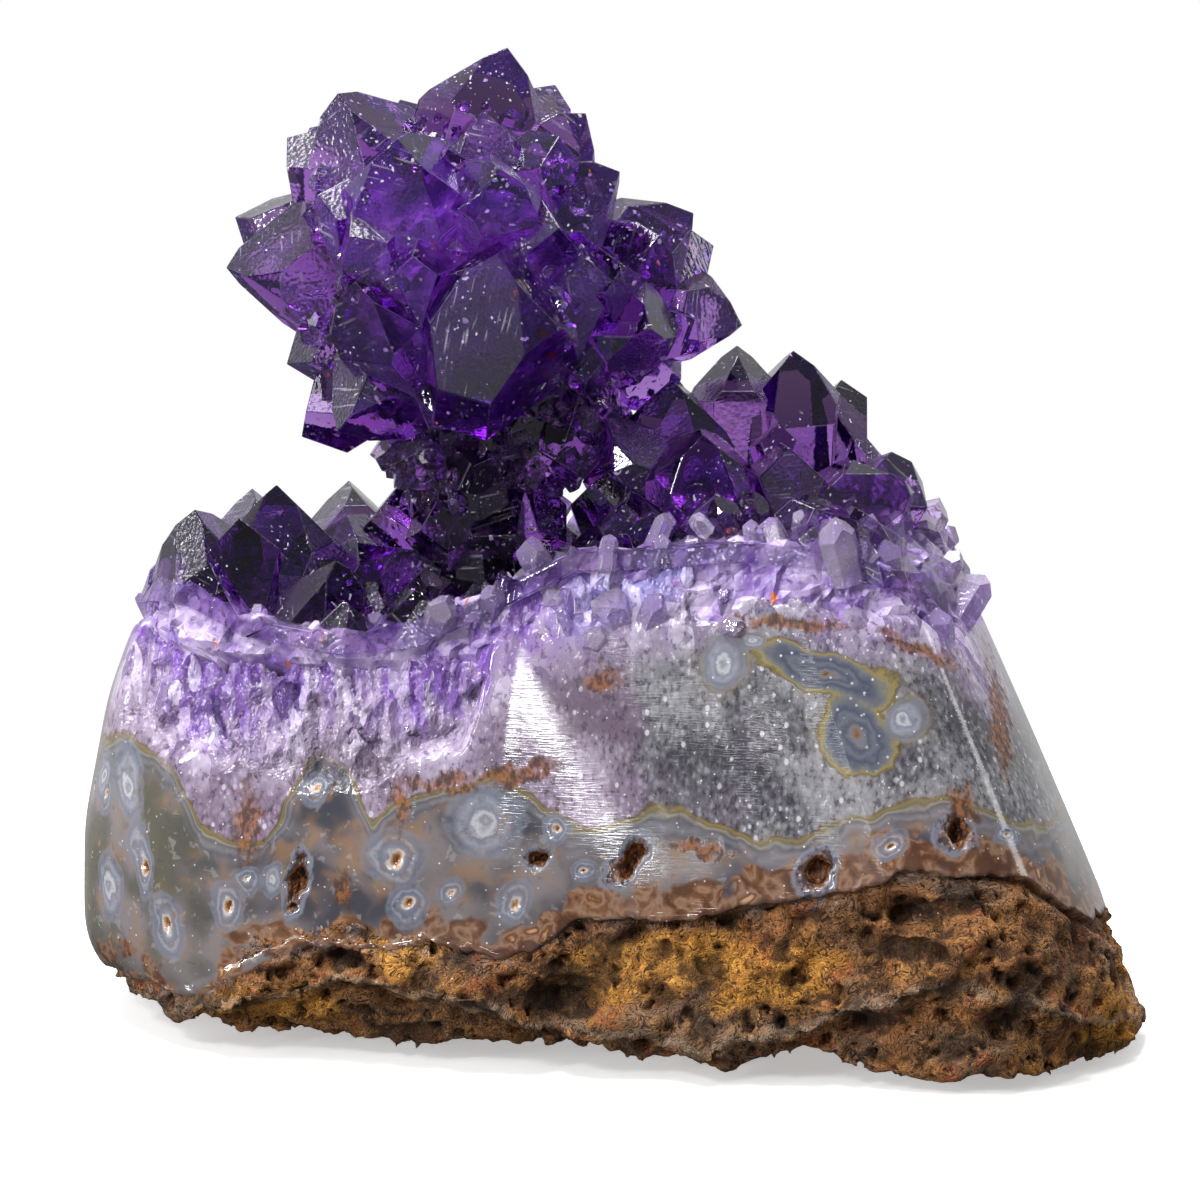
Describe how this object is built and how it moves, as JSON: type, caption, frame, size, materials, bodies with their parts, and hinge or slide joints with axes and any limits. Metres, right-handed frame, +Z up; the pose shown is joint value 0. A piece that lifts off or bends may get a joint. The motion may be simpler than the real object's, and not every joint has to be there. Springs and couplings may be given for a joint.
{
  "type": "amethyst stalactite specimen",
  "caption": "Free-standing amethyst stalactite with a round crystal head on a bed of crystals, over polished banded agate and rough host rock.",
  "frame": {"origin": "centre of the underside of the bounding box, on the surface the specimen stands on", "axes": "+Z up; +X to the right, seen from the polished front; +Y away from the front, through the block's thickness"},
  "size_m": [0.1222, 0.073, 0.111],
  "materials": {
    "host_rock": "rough, pitted and iron-stained",
    "geode_wall": "sawn and polished",
    "amethyst": "clear natural crystal faces"
  },
  "bodies": {
    "root": {"host_rock": "host_rock", "geode_wall": "geode_wall", "druse": "amethyst", "stalactite": "amethyst"}
  },
  "joints": []
}
